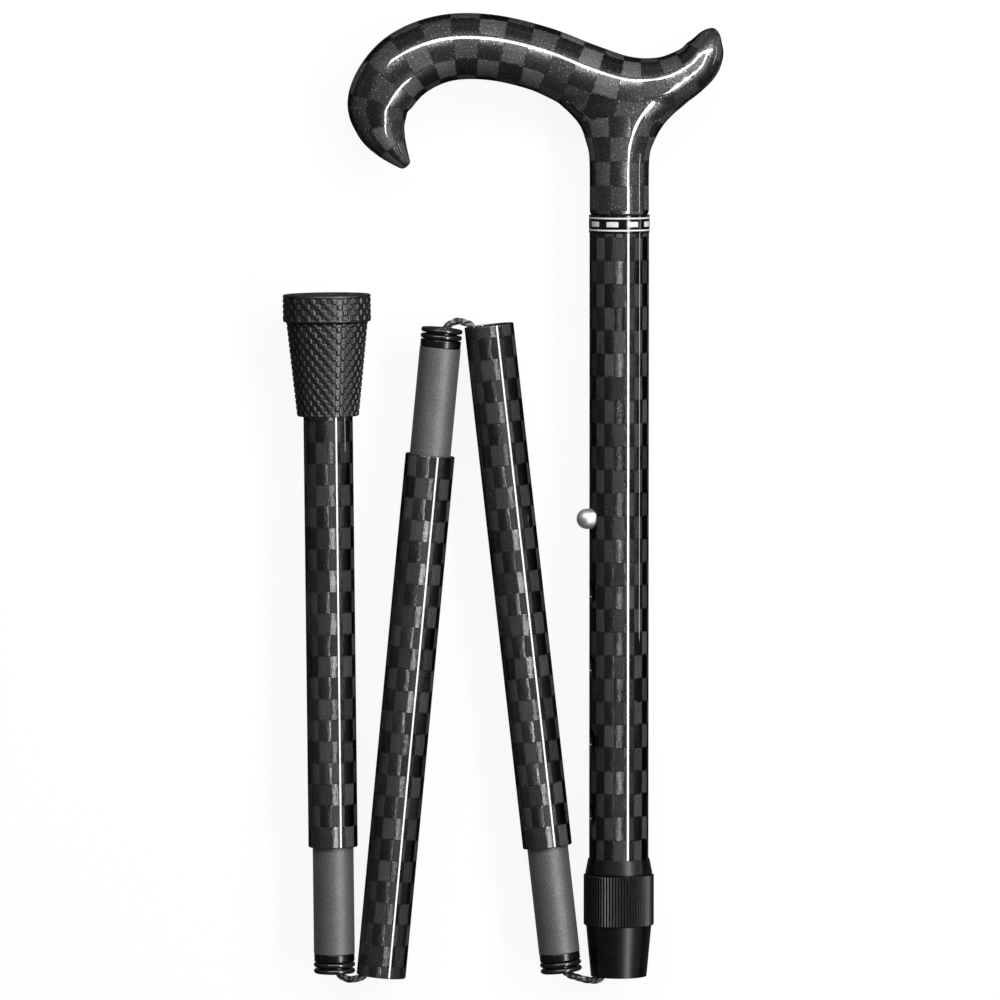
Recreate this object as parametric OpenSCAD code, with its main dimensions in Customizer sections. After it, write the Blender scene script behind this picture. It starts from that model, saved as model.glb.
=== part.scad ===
// Folding cane with a derby handle, shown folded and lying flat.
// Four tube sections on one elastic cord, a telescopic upper section with a
// snap button and a knurled lock, plug-in ferrules and a rubber tip.

/* [Tubes] */
// Outer diameter of the plug-in ferrules
ferrule_d = 13.8; // [11:0.1:17]
// Gap all round between a ferrule and the socket it plugs into
plug_gap = 0.2; // [0.1:0.05:0.4]
// Wall of the three lower tubes
section_wall = 1.2; // [0.8:0.1:2]
// Length of each lower tube
section_len = 177; // [150:1:220]
// Wall of the telescopic inner tube
inner_wall = 1.3; // [0.8:0.1:2]
// Gap all round between the inner tube and the upper tube
slide_gap = 0.3; // [0.2:0.05:0.6]
// Wall of the upper tube
upper_wall = 1.3; // [1:0.1:2]
// Length of the upper tube that shows between lock and handle
upper_shown = 211; // [190:1:260]

/* [Ferrules] */
// Length of ferrule and end cap that stands out of its tube
ferrule_reach = 43; // [36:0.5:55]
// Length of ferrule held inside its tube
ferrule_hold = 25; // [15:1:40]
// Wall of the ferrule
ferrule_wall = 1.6; // [1:0.1:2.4]
// Width of the plain black band on the end cap
cap_band = 2.6; // [2:0.1:4]
// Thickness of an O-ring
oring_t = 1.8; // [1.2:0.1:2.2]
// Length of the end cap's stem inside the ferrule
cap_stem = 12; // [6:1:20]
// Diameter of the cord hole through the end cap
cap_hole = 6; // [4:0.2:8]

/* [Elastic cord] */
// Thickness of the elastic cord
cord_d = 2.4; // [1.6:0.1:3.6]
// Thickness of the knots at the cord's two ends
knot_d = 6.4; // [5:0.2:8]
// Gap between each exposed loop and the tube ends that it passes
loop_gap = 0.35; // [0.3:0.05:4]

/* [Height adjustment] */
// Pitch of the adjustment holes
hole_pitch = 25; // [20:1:30]
// Number of adjustment holes
hole_count = 5; // [2:1:6]
// Diameter of an adjustment hole
hole_d = 7.6; // [5:0.1:9]
// Height of the lowest hole over the lock sleeve
hole_over_sleeve = 14.9; // [12:0.1:30]
// Diameter of the snap button
button_d = 6.9; // [4:0.1:8.5]
// How far the snap button stands out of the upper tube
button_out = 4.9; // [2:0.1:6]
// Angle of the button from the fold's side towards the front
button_turn = 18; // [0:1:60]
// Length of the inner tube above the button
inner_over_button = 35; // [28:1:50]
// Thickness of the button's leaf spring
leaf_t = 0.7; // [0.4:0.05:1]

/* [Lock] */
// Wall of the nut under the knurls
nut_wall = 0.55; // [0.4:0.05:2]
// Length of the knurled band
knurl_len = 17; // [10:0.5:25]
// Number of knurls round the band
knurl_count = 72; // [36:4:96]
// Depth of the knurls
knurl_depth = 0.45; // [0.2:0.05:0.6]
// Length of the tapered nose
nose_len = 17.5; // [14:0.5:25]
// How far the knurled band stands over the nose's top
nose_step = 0.8; // [0.3:0.05:1.2]
// Wall of the nose at its end
nose_lip = 0.7; // [0.5:0.05:1.5]
// Rounding of the nose's end
nose_round = 0.35; // [0.1:0.05:0.5]
// Height of the sleeve's chamfered collar
sleeve_collar = 5.4; // [3:0.1:8]
// Thickness of the sleeve's threaded part
sleeve_t = 0.5; // [0.4:0.05:0.7]
// Gap between moving faces of the lock
lock_gap = 0.3; // [0.2:0.05:0.5]

/* [Handle] */
// Height of the grip
grip_h = 22.3; // [18:0.1:28]
// Thickness of the grip
grip_t = 26; // [20:0.5:34]
// Height of the grip's middle line over the collar where the shaft meets it
neck_rise = 42.7; // [36:0.1:55]
// Diameter of the handle's neck
neck_d = 20; // [18:0.1:24]
// Diameter of the spigot inside the neck
spigot_d = 12; // [8:0.5:15]
// Length of the spigot inside the neck
spigot_up = 28; // [15:1:34]
// Length of the spigot inside the upper tube
spigot_down = 26; // [15:1:40]

/* [Collar ring] */
// Height of the collar ring
collar_h = 6; // [4:0.1:12]
// How far the collar ring stands proud of the tube
collar_proud = 0.2; // [0.1:0.05:0.6]
// Height of a pale line
line_h = 0.55; // [0.3:0.05:1]
// Distance of a pale line from the ring's edge
line_in = 0.7; // [0.4:0.05:1.2]
// Height of an inlaid tile
tile_h = 2.1; // [1:0.1:4]
// Number of inlaid tiles
tile_count = 9; // [6:1:12]
// Angle that a tile covers
tile_angle = 26; // [10:1:28]
// Depth of the lines and tiles in the ring
inlay_depth = 0.6; // [0.3:0.05:1]

/* [Rubber tip] */
// Length of the tip
tip_len = 41; // [36:0.5:55]
// Diameter of the tip's foot
tip_foot_d = 29.6; // [26:0.1:40]
// Height of the tip's foot
tip_foot_h = 9; // [5:0.5:14]
// Diameter of the tip just over its foot
tip_low_d = 27.4; // [24:0.1:36]
// Diameter of the tip at its open end
tip_top_d = 20.8; // [20:0.1:26]
// Rubber under the tube's end
tip_sole = 9.4; // [6:0.2:14]
// Thickness of the steel washer in the tip
washer_t = 1.2; // [0.8:0.1:2]
// Depth of the tread grooves
tread_depth = 1.6; // [0.5:0.1:3]

/* [Fold] */
// Lean of the second section from the first
lean_2 = 6.4; // [6:0.1:9]
// Angle between the second and third sections
fan_23 = 11.8; // [10:0.1:15]
// Angle between the third and fourth sections
fan_34 = 6; // [5:0.1:9]
// Least gap between neighbouring sections when folded
fold_gap = 0.35; // [0.3:0.05:1]
// How far the second section's end stands back from the nose's end
end_back_2 = 1.2; // [0:0.1:4]
// How far the third section's end stands past the second's mouth
end_past_3 = 0.9; // [0:0.1:4]
// How far the fourth section's end stands past the third's mouth
end_past_4 = 0.6; // [0:0.1:4]

/* [Hidden] */
$fn = 64;
// thin bond line between pieces that are glued or pressed together
bond = 0.05;
// small overlap that keeps cuts clean
cut = 0.02;

// diameters that follow from the fits
socket_d = ferrule_d + 2 * plug_gap;
section_d = socket_d + 2 * section_wall;
inner_d = socket_d + 2 * inner_wall;
upper_bore = inner_d + 2 * slide_gap;
upper_d = upper_bore + 2 * upper_wall;
oring_d = socket_d - 2 * bond;
cap_groove_d = oring_d - 2 * oring_t;
ferrule_bore = ferrule_d - 2 * ferrule_wall;
cap_seat = 2 * oring_t + 0.6;
cap_len = cap_seat + cap_band;
cap_chamfer = 0.8;

// lock radii and the diameters that follow from them
thread_r = upper_d / 2 + bond + sleeve_t;
nut_bore_r = thread_r + lock_gap;
nose_bore_r = inner_d / 2 + lock_gap;
knurl_d = 2 * (nut_bore_r + nut_wall + knurl_depth);
nose_top_d = knurl_d - 2 * nose_step;
nose_end_d = 2 * (nose_bore_r + nose_lip);

// levels along the first section, from the end of its nose
inner_end = 1;
knurl_z = nose_len;
sleeve_z = nose_len + knurl_len;
sleeve_top = sleeve_z + sleeve_collar;
sleeve_overlap = 12;
upper_end = sleeve_z - sleeve_overlap;
collar_z = sleeve_top + upper_shown;
handle_z = collar_z + collar_h;
grip_z = handle_z + neck_rise;
low_hole_z = sleeve_top + hole_over_sleeve;
button_z = low_hole_z + (hole_count - 1) * hole_pitch;
inner_top = button_z + inner_over_button;

// snap button, measured from the tube's axis
button_tip = upper_d / 2 + button_out;
button_dome = button_tip - button_d / 2;
button_flange_d = button_d + 2;
button_flange = sqrt(pow(socket_d / 2, 2) - pow(button_flange_d / 2, 2)) - lock_gap;
button_flange_t = 1;
button_hole = button_d + 2 * lock_gap;
leaf_w = 6;
leaf_up = 22;
leaf_down = 14;
leaf_gap = 0.25;

// cord anchor in the inner tube
anchor_len = 10;
anchor_under_button = 45;
anchor_z = button_z - anchor_under_button;
anchor_bore = cord_d + 1;
// depth at which an exposed loop joins the straight cord, inside a tube and inside an end cap
loop_spare = 5;
loop_depth = ferrule_reach + loop_spare;
loop_plug = 8;
// gap between the ends of a loop and of a straight cord
cord_joint = 0.15;

// collar ring and the levels of its pale lines
collar_d = upper_d + 2 * collar_proud;
line_levels = [line_in, collar_h - line_in - line_h];

// skin of the nut over the collet, and the collet's foot and slits
nose_skin = 0.85;
collet_z = 11;
collet_slits = 4;
slit_w = 1;

// rubber tip and the end of the last tube
tip_bore_depth = tip_len - tip_sole;
plug_4_len = 10;

// reach of a section from its ferrule's end to the end of its tube
section_reach = ferrule_reach + section_len;

plug_4_z = section_reach - plug_4_len - knot_d;

// where the folded sections stand, in the plane of the fold: a foot on each axis and the axis's lean to the left
neighbour = section_d / 2 + oring_d / 2 + fold_gap;
foot_2 = [-(knurl_d / 2 + oring_d / 2 + fold_gap), end_back_2];
mouth_2 = foot_2 + section_reach * along(lean_2);
lean_3 = lean_2 - fan_23;
top_3 = mouth_2 + neighbour * left(lean_2) + end_past_3 * along(lean_2);
mouth_3 = top_3 - section_reach * along(lean_3);
lean_4 = lean_3 + fan_34;
foot_4 = mouth_3 + neighbour * left(lean_3) - end_past_4 * along(lean_3);

function along(lean) = [-sin(lean), cos(lean)];
function left(lean) = [-cos(lean), -sin(lean)];

// smooth curve through points of any size, with its ends held
function pick(list, i) = list[max(0, min(len(list) - 1, i))];
function smooth(a, b, c, d, t) =
    0.5 * (2 * b + (c - a) * t + (2 * a - 5 * b + 4 * c - d) * t * t + (3 * b - a - 3 * c + d) * t * t * t);
function curve(list, steps) = [
    for (i = [0:len(list) - 2], k = [0:steps - 1])
        smooth(pick(list, i - 1), list[i], list[i + 1], pick(list, i + 2), k / steps),
    list[len(list) - 1]
];

// faces of a closed tube of rings, ring by ring
function ring_faces(rings, sides) = concat(
    [for (j = [1:sides - 2]) [0, j + 1, j]],
    [for (i = [0:rings - 2], j = [0:sides - 1])
        let (a = i * sides + j, b = i * sides + (j + 1) % sides) [a, b + sides, a + sides]],
    [for (i = [0:rings - 2], j = [0:sides - 1])
        let (a = i * sides + j, b = i * sides + (j + 1) % sides) [a, b, b + sides]],
    [for (j = [1:sides - 2]) let (last = (rings - 1) * sides) [last, last + j, last + j + 1]]
);

// direction of a path in the plane of the fold at one of its points
function heading(path, i) =
    let (d = pick(path, i + 1) - pick(path, i - 1)) atan2(d[1], d[0]);

// exposed loop from a tube's mouth round to the next section's end, both given with the way out of them
function loop_path(mouth, mouth_out, side, end, end_out) =
    let (
        wall = socket_d / 2 - cord_d / 2 - loop_gap,
        drop = loop_gap + cord_d / 2,
        leave = mouth + drop * mouth_out + (wall + 0.9 * cord_d) * side,
        enter = end + drop * end_out - (cap_hole / 2 + 0.65 * cord_d) * side
    ) curve([
        mouth - (loop_depth - cord_joint) * mouth_out,
        mouth - 0.33 * loop_depth * mouth_out + 0.35 * wall * side,
        mouth - 1.9 * cord_d * mouth_out + wall * side,
        mouth - 0.25 * cord_d * mouth_out + wall * side,
        mouth + 0.6 * drop * mouth_out + (wall + 0.33 * cord_d) * side,
        leave,
        (leave + enter) / 2 + 0.3 * abs((enter - leave) * mouth_out) * mouth_out,
        enter,
        end + 0.5 * drop * end_out - 0.4 * cap_hole * side,
        end - 0.25 * cord_d * end_out - cap_hole / 6 * side,
        end - 0.4 * loop_plug * end_out,
        end - (loop_plug - cord_joint) * end_out
    ], 3);
loop_lower = loop_path([0, 0], [0, -1], [-1, 0], foot_2, -along(lean_2));
loop_upper = loop_path(mouth_2, along(lean_2), left(lean_2), top_3, along(lean_3));
loop_outer = loop_path(mouth_3, -along(lean_3), left(lean_3), foot_4, -along(lean_4));

// skin of a round cord along a path in the plane of the fold
cord_sides = 8;
function cord_points(path) = [
    for (i = [0:len(path) - 1], j = [0:cord_sides - 1])
        let (h = heading(path, i), a = 360 * j / cord_sides, r = cord_d / 2)
            [path[i][0] - sin(h) * cos(a) * r, sin(a) * r, path[i][1] + cos(h) * cos(a) * r]
];

// middle line of the grip from hook to tail: across, up from the grip's middle, share of height, share of thickness
handle_spine = [
    [-71.3, -26.6, 0.16, 0.18],
    [-76.9, -19.2, 0.53, 0.57],
    [-80, -12.2, 0.82, 0.84],
    [-80.2, -3.6, 1, 0.96],
    [-72.5, 6.8, 1.03, 1],
    [-59.6, 12.9, 1.01, 1],
    [-44, 13.5, 0.99, 1],
    [-26.6, 9.6, 0.98, 1],
    [-11.6, 3.4, 1.02, 1],
    [2, -0.3, 0.97, 0.98],
    [14.7, 1.1, 0.83, 0.9],
    [24.5, 6.4, 0.7, 0.74],
    [28.5, 11.6, 0.61, 0.62],
    [30.5, 16, 0.41, 0.44],
    [32, 18.5, 0.22, 0.27],
    [32.7, 19.3, 0.08, 0.1]
];
handle_steps = 4;
handle_sides = 28;
handle_path = curve(handle_spine, handle_steps);
handle_line = [for (p = handle_path) [p[0], p[1] + grip_z]];
handle_points = [
    for (i = [0:len(handle_path) - 1], j = [0:handle_sides - 1])
        let (
            p = handle_path[i],
            h = heading(handle_line, i),
            a = 360 * j / handle_sides,
            up = cos(a) * p[2] * grip_h / 2
        ) [p[0] - sin(h) * up, sin(a) * p[3] * grip_t / 2, p[1] + grip_z + cos(h) * up]
];

// neck under the grip: height over the collar, growth of half its width across and through the handle, and its way towards the tail
neck_flare = [
    [0, 0, 0, 0],
    [18.4, 0.1, 0.3, 0],
    [24.2, 1.4, 0.8, 0.2],
    [29.6, 3.8, 1.4, 0.7],
    [34, 7.6, 1.9, 0.9],
    [38.2, 12.2, 2, 1],
    [41, 12.6, 2, 0.2]
];

// middle of the folded outline, which goes over the origin, and the height of the axes over the table
far_left = (foot_4 + (section_reach + tip_sole) * along(lean_4))[0] - tip_foot_d / 2;
far_right = max([for (p = handle_points) p[0]]);
far_low = min([for (p = concat(cord_points(loop_lower), cord_points(loop_outer))) p[2]]);
far_high = max([for (p = handle_points) p[2]]);
axis_h = tip_foot_d / 2;

// stands the fold's plane flat on the table with the outline's middle over the origin
module lay_flat() {
    translate([-(far_left + far_right) / 2, -(far_low + far_high) / 2, axis_h])
        rotate([-90, 0, 0]) children();
}

// a section's own frame: its ferrule's end at the origin and its tube above
module section(foot, lean, flip = false) {
    lay_flat() translate([foot[0], 0, foot[1]]) rotate([0, -lean + (flip ? 180 : 0), 0]) children();
}
module section_2() section(foot_2, lean_2) children();
module section_3() section(top_3, lean_3, true) children();
module section_4() section(foot_4, lean_4) children();

// ring with a square section
module ring(d, bore, h) {
    rotate_extrude() translate([bore / 2, 0]) square([(d - bore) / 2, h]);
}

// turns the snap button's own +X towards the side where it stands out
module at_button() {
    translate([0, 0, button_z]) rotate([0, 0, 180 + button_turn]) children();
}

module handle() {
    neck = curve(neck_flare, 3);
    neck_points = [
        for (s = neck, j = [0:handle_sides - 1])
            let (a = 360 * j / handle_sides)
                [(neck_d / 2 + s[1]) * cos(a) + s[3], -(neck_d / 2 + s[2]) * sin(a), handle_z + s[0]]
    ];
    color("dimgray") lay_flat() difference() {
        union() {
            polyhedron(handle_points, ring_faces(len(handle_path), handle_sides));
            polyhedron(neck_points, ring_faces(len(neck), handle_sides));
        }
        translate([0, 0, handle_z - cut]) cylinder(d = spigot_d + 2 * bond, h = spigot_up + bond + cut);
    }
}

module handle_spigot() {
    color("silver") lay_flat() union() {
        translate([0, 0, collar_z - spigot_down]) cylinder(d = upper_bore - 2 * bond, h = spigot_down);
        translate([0, 0, collar_z]) cylinder(d = spigot_d, h = collar_h + spigot_up);
    }
}

// inlays of the collar ring, which also cut their own seats
module collar_line_shapes() {
    for (z = line_levels) translate([0, 0, collar_z + z]) ring(collar_d, collar_d - 2 * inlay_depth, line_h);
}
module collar_tile_shapes() {
    for (i = [0:tile_count - 1])
        rotate([0, 0, -90 + tile_angle / 2 + i * 360 / tile_count])
            translate([0, 0, collar_z + (collar_h - tile_h) / 2])
                rotate_extrude(angle = tile_angle)
                    translate([collar_d / 2 - inlay_depth, 0]) square([inlay_depth, tile_h]);
}

module collar_ring() {
    color("black") lay_flat() difference() {
        translate([0, 0, collar_z]) ring(collar_d, spigot_d + 2 * bond, collar_h);
        collar_line_shapes();
        collar_tile_shapes();
    }
}

module collar_lines() {
    color("white") lay_flat() collar_line_shapes();
}

module collar_tiles() {
    color("gainsboro") lay_flat() collar_tile_shapes();
}

module upper_tube() {
    color("dimgray") lay_flat() difference() {
        translate([0, 0, upper_end]) ring(upper_d, upper_bore, collar_z - upper_end);
        for (i = [0:hole_count - 1])
            translate([0, 0, -i * hole_pitch]) at_button() rotate([0, 90, 0]) cylinder(d = hole_d, h = upper_d);
    }
}

module lock_sleeve() {
    inside = upper_d / 2 + bond;
    rim = nose_top_d / 2 + 0.2;
    color("black") lay_flat() rotate_extrude() polygon([
        [inside, upper_end], [thread_r, upper_end], [thread_r, sleeve_z + lock_gap], [rim, sleeve_z + lock_gap],
        [rim, sleeve_z + 3 * lock_gap], [inside + lock_gap, sleeve_top], [inside, sleeve_top]
    ]);
}

module lock_collet() {
    inside = inner_d / 2 + lock_gap;
    outside_low = nose_r(collet_z) - nose_skin - lock_gap;
    outside_top = min(nose_r(knurl_z) - nose_skin, nut_bore_r) - lock_gap;
    color("gray") lay_flat() difference() {
        rotate_extrude() polygon([
            [inside, collet_z], [outside_low, collet_z], [outside_top, knurl_z],
            [outside_top, upper_end - bond], [inside, upper_end - bond]
        ]);
        for (i = [0:collet_slits / 2 - 1])
            rotate([0, 0, 45 + i * 90]) translate([-nut_bore_r, -slit_w / 2, collet_z - cut])
                cube([2 * nut_bore_r, slit_w, (upper_end - collet_z) * 0.75]);
    }
}

// outer radius of the nose at a height over its end
function nose_r(z) = (nose_end_d + (nose_top_d - nose_end_d) * z / nose_len) / 2;

module lock_nut() {
    knurl_points = [
        for (i = [0:2 * knurl_count - 1])
            let (r = knurl_d / 2 - (i % 2 ? knurl_depth : 0), a = 180 * i / knurl_count) [r * cos(a), r * sin(a)]
    ];
    color("black") lay_flat() difference() {
        union() {
            rotate_extrude() polygon([
                [0, 0], [nose_end_d / 2 - nose_round, 0], [nose_end_d / 2, nose_round],
                [nose_top_d / 2, nose_len], [nose_top_d / 2, nose_len + 1], [0, nose_len + 1]
            ]);
            translate([0, 0, knurl_z]) linear_extrude(knurl_len) polygon(knurl_points);
        }
        rotate_extrude() polygon([
            [0, -cut], [nose_bore_r, -cut], [nose_bore_r, collet_z - lock_gap],
            [nose_r(collet_z) - nose_skin, collet_z - lock_gap], [nose_r(knurl_z) - nose_skin, knurl_z],
            [nut_bore_r, upper_end - lock_gap], [nut_bore_r, sleeve_z + cut], [0, sleeve_z + cut]
        ]);
    }
}

module inner_tube() {
    color("dimgray") lay_flat() difference() {
        translate([0, 0, inner_end]) ring(inner_d, socket_d, inner_top - inner_end);
        at_button() rotate([0, 90, 0]) cylinder(d = button_hole, h = inner_d);
    }
}

module height_button() {
    color("silver") lay_flat() at_button() rotate([0, 90, 0]) rotate_extrude() polygon(concat(
        [[0, button_flange - button_flange_t], [button_flange_d / 2, button_flange - button_flange_t],
         [button_flange_d / 2, button_flange], [button_d / 2, button_flange], [button_d / 2, button_dome]],
        [for (a = [10:10:80]) [cos(a) * button_d / 2, button_dome + sin(a) * button_d / 2]],
        [[0, button_tip]]
    ));
}

module button_spring() {
    near = button_flange - button_flange_t - leaf_gap;
    far = leaf_gap - sqrt(pow(socket_d / 2, 2) - pow(leaf_w / 2, 2));
    bow = [
        [near, -leaf_w / 2], [near, leaf_w / 2], [near - leaf_t, leaf_up * 0.7], [0, leaf_up],
        [far + 4 * leaf_t, leaf_up * 0.85], [far, leaf_up * 0.4], [far, 0], [far, -leaf_down]
    ];
    path = curve(bow, 6);
    edge = [for (i = [0:len(path) - 1]) path[i] + leaf_t * [-sin(heading(path, i)), cos(heading(path, i))]];
    back = [for (i = [len(path) - 1:-1:0]) path[i]];
    color("silver") lay_flat() at_button() rotate([90, 0, 0])
        translate([0, 0, -leaf_w / 2]) linear_extrude(leaf_w) polygon(concat(edge, back));
}

module cord_anchor() {
    color("black") lay_flat() translate([0, 0, anchor_z]) ring(socket_d - 2 * bond, anchor_bore, anchor_len);
}

// knot on a cord's end, seated on the plug that holds it
module knot() {
    rotate_extrude() intersection() {
        translate([0, knot_d * 0.4]) circle(d = knot_d);
        square([knot_d, knot_d]);
    }
}

module cord_knot_upper() {
    color("black") lay_flat() translate([0, 0, anchor_z + anchor_len]) knot();
}

module cord_upper() {
    color("black") lay_flat()
        translate([0, 0, inner_end + loop_depth]) cylinder(d = cord_d, h = anchor_z + anchor_len - inner_end - loop_depth);
}

// cord along a path in the plane of the fold
module cord_loop(path) {
    color("black") lay_flat() polyhedron(cord_points(path), ring_faces(len(path), cord_sides));
}

module cord_loop_lower() { cord_loop(loop_lower); }
module cord_loop_upper() { cord_loop(loop_upper); }
module cord_loop_outer() { cord_loop(loop_outer); }

// pieces that each lower section has, in the section's own frame
module tube_shape() {
    color("dimgray") translate([0, 0, ferrule_reach]) ring(section_d, socket_d, section_len);
}
module ferrule_shape() {
    color("darkgray") rotate_extrude() polygon([
        [ferrule_bore / 2, cap_len], [ferrule_d / 2, cap_len], [ferrule_d / 2, ferrule_reach - bond],
        [socket_d / 2 - bond, ferrule_reach], [socket_d / 2 - bond, ferrule_reach + ferrule_hold],
        [ferrule_bore / 2, ferrule_reach + ferrule_hold]
    ]);
}
module end_cap_shape() {
    land = ferrule_d / 2 - 2 * bond;
    stem = ferrule_bore / 2 - bond;
    color("black") rotate_extrude() polygon([
        [cap_hole / 2 + cap_chamfer, 0], [cap_groove_d / 2, 0], [cap_groove_d / 2, cap_seat], [land, cap_seat],
        [land, cap_len - bond], [stem, cap_len - bond], [stem, cap_len + cap_stem],
        [cap_hole / 2, cap_len + cap_stem], [cap_hole / 2, cap_chamfer]
    ]);
}
module o_rings_shape() {
    color("black") for (z = [0.1, 0.4 + oring_t])
        translate([0, 0, z + oring_t / 2]) rotate_extrude()
            translate([oring_d / 2 - oring_t / 2, 0]) circle(d = oring_t - 2 * bond, $fn = 24);
}
module cord_shape(from, to) {
    color("black") translate([0, 0, from]) cylinder(d = cord_d, h = to - from);
}

module tube_2() { section_2() tube_shape(); }
module ferrule_2() { section_2() ferrule_shape(); }
module end_cap_2() { section_2() end_cap_shape(); }
module o_rings_2() { section_2() o_rings_shape(); }
module cord_2() { section_2() cord_shape(loop_plug, section_reach - loop_depth); }

module tube_3() { section_3() tube_shape(); }
module ferrule_3() { section_3() ferrule_shape(); }
module end_cap_3() { section_3() end_cap_shape(); }
module o_rings_3() { section_3() o_rings_shape(); }
module cord_3() { section_3() cord_shape(loop_plug, section_reach - loop_depth); }

module tube_4() { section_4() tube_shape(); }
module ferrule_4() { section_4() ferrule_shape(); }
module end_cap_4() { section_4() end_cap_shape(); }
module o_rings_4() { section_4() o_rings_shape(); }
module cord_4() { section_4() cord_shape(loop_plug, plug_4_z + plug_4_len); }
module cord_plug_4() {
    color("black") section_4() translate([0, 0, plug_4_z]) ring(socket_d - 2 * bond, anchor_bore, plug_4_len);
}
module cord_knot_lower() {
    color("black") section_4() translate([0, 0, plug_4_z + plug_4_len]) knot();
}

module tip_washer() {
    color("silver") section_4() translate([0, 0, section_reach + bond]) cylinder(d = section_d - 2 * bond, h = washer_t);
}

module rubber_tip() {
    foot_z = section_reach + tip_sole;
    open_z = foot_z - tip_len;
    edge = 0.8;
    color("black") section_4() difference() {
        rotate_extrude() polygon([
            [0, foot_z], [0, open_z], [tip_top_d / 2 - edge, open_z], [tip_top_d / 2, open_z + edge],
            [tip_low_d / 2, foot_z - tip_foot_h - 0.5], [tip_foot_d / 2 - edge, foot_z - tip_foot_h],
            [tip_foot_d / 2, foot_z - tip_foot_h + edge], [tip_foot_d / 2, foot_z - edge],
            [tip_foot_d / 2 - edge, foot_z]
        ]);
        translate([0, 0, open_z - cut]) cylinder(d = section_d + 2 * bond, h = tip_bore_depth + washer_t + 2 * bond + cut);
        for (d = [0.42, 0.74] * tip_foot_d)
            translate([0, 0, foot_z - tread_depth]) ring(d + 3, d, tread_depth + cut);
    }
}

handle();
handle_spigot();
collar_ring();
collar_lines();
collar_tiles();
upper_tube();
lock_sleeve();
lock_collet();
lock_nut();
inner_tube();
height_button();
button_spring();
cord_anchor();
cord_knot_upper();
cord_upper();
cord_loop_lower();
tube_2();
ferrule_2();
end_cap_2();
o_rings_2();
cord_2();
cord_loop_upper();
tube_3();
ferrule_3();
end_cap_3();
o_rings_3();
cord_3();
cord_loop_outer();
tube_4();
ferrule_4();
end_cap_4();
o_rings_4();
cord_4();
cord_plug_4();
cord_knot_lower();
tip_washer();
rubber_tip();
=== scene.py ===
import math

import bmesh
import bpy
import numpy as np
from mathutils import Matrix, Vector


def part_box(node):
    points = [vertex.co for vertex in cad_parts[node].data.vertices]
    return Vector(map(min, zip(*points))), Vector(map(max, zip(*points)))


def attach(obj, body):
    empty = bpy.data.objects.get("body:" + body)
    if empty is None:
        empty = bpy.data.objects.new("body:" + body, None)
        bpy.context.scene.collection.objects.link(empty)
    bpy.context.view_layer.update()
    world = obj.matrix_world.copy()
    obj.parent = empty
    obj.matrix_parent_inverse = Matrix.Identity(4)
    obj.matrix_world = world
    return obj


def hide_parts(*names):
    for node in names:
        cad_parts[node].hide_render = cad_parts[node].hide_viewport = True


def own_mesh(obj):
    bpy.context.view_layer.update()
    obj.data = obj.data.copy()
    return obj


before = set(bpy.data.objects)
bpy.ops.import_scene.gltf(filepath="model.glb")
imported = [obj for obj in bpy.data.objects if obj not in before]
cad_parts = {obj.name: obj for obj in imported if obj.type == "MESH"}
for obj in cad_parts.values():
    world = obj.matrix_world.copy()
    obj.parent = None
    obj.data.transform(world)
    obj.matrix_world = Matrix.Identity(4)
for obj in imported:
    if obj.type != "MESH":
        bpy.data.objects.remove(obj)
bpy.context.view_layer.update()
mm = 0.001

# where each section lies in the plane of the fold: across and up the first section in mm, lean to the left in degrees, upside down or not
fold = {
    "axisHeight": 14.8,
    "first": (0.0, 0.0, 0.0, False),
    "two": (-19.25, 1.2, 6.4, False),
    "three": (-59.4756, 218.973, -5.4, True),
    "four": (-95.8663, 0.829802, 0.6, False),
}
nutLow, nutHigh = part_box("lock_nut")
shift = ((nutLow.x + nutHigh.x) / 2 / mm, nutLow.y / mm)
print("frame loaded, first section's axis at", [round(v, 3) for v in shift])


# meshes from numpy grids

def lay(points, section="first"):  # a section's own mm, z up its tube from the ferrule's end -> the row's metres
    x0, z0, lean, flip = fold[section]
    turn = math.radians(180 - lean if flip else -lean)
    x, y, z = np.moveaxis(np.asarray(points, float), -1, 0)
    across = x0 + x * math.cos(turn) + z * math.sin(turn)
    up = z0 - x * math.sin(turn) + z * math.cos(turn)
    return np.stack([across + shift[0], up + shift[1], fold["axisHeight"] - y], -1) * mm


def ringed(radius, angle, height, section="first"):  # points at a radius and an angle about a section's axis
    return lay(np.stack([radius * np.cos(angle), radius * np.sin(angle), height + 0 * angle], -1), section)


def roundUv(count, height):  # share of a turn and way along, for a grid of that many columns
    return np.stack(np.broadcast_arrays(np.linspace(0, 1, count + 1)[None], height), -1)


# quads between neighbouring rows and columns of a grid; wrap joins the last column to the first
def sheet(grid, uv=None, wrap=False, flip=False):
    rows, cols = grid.shape[:2]
    i, j = (a.ravel() for a in np.meshgrid(np.arange(rows - 1), np.arange(cols if wrap else cols - 1), indexing="ij"))
    k = (j + 1) % cols
    quads = np.stack([i * cols + j, i * cols + k, (i + 1) * cols + k, (i + 1) * cols + j], -1)
    if uv is None:
        uv = np.zeros((rows, cols + 1, 2))
    corners = np.stack([uv[i, j], uv[i, j + 1], uv[i + 1, j + 1], uv[i + 1, j]], 1)
    if flip:
        quads, corners = quads[:, ::-1], corners[:, ::-1]
    return grid.reshape(-1, 3), quads, corners


def placed(name, data):  # a new object in the scene
    made = bpy.data.objects.new(name, data)
    bpy.context.scene.collection.objects.link(made)
    return made


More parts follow.
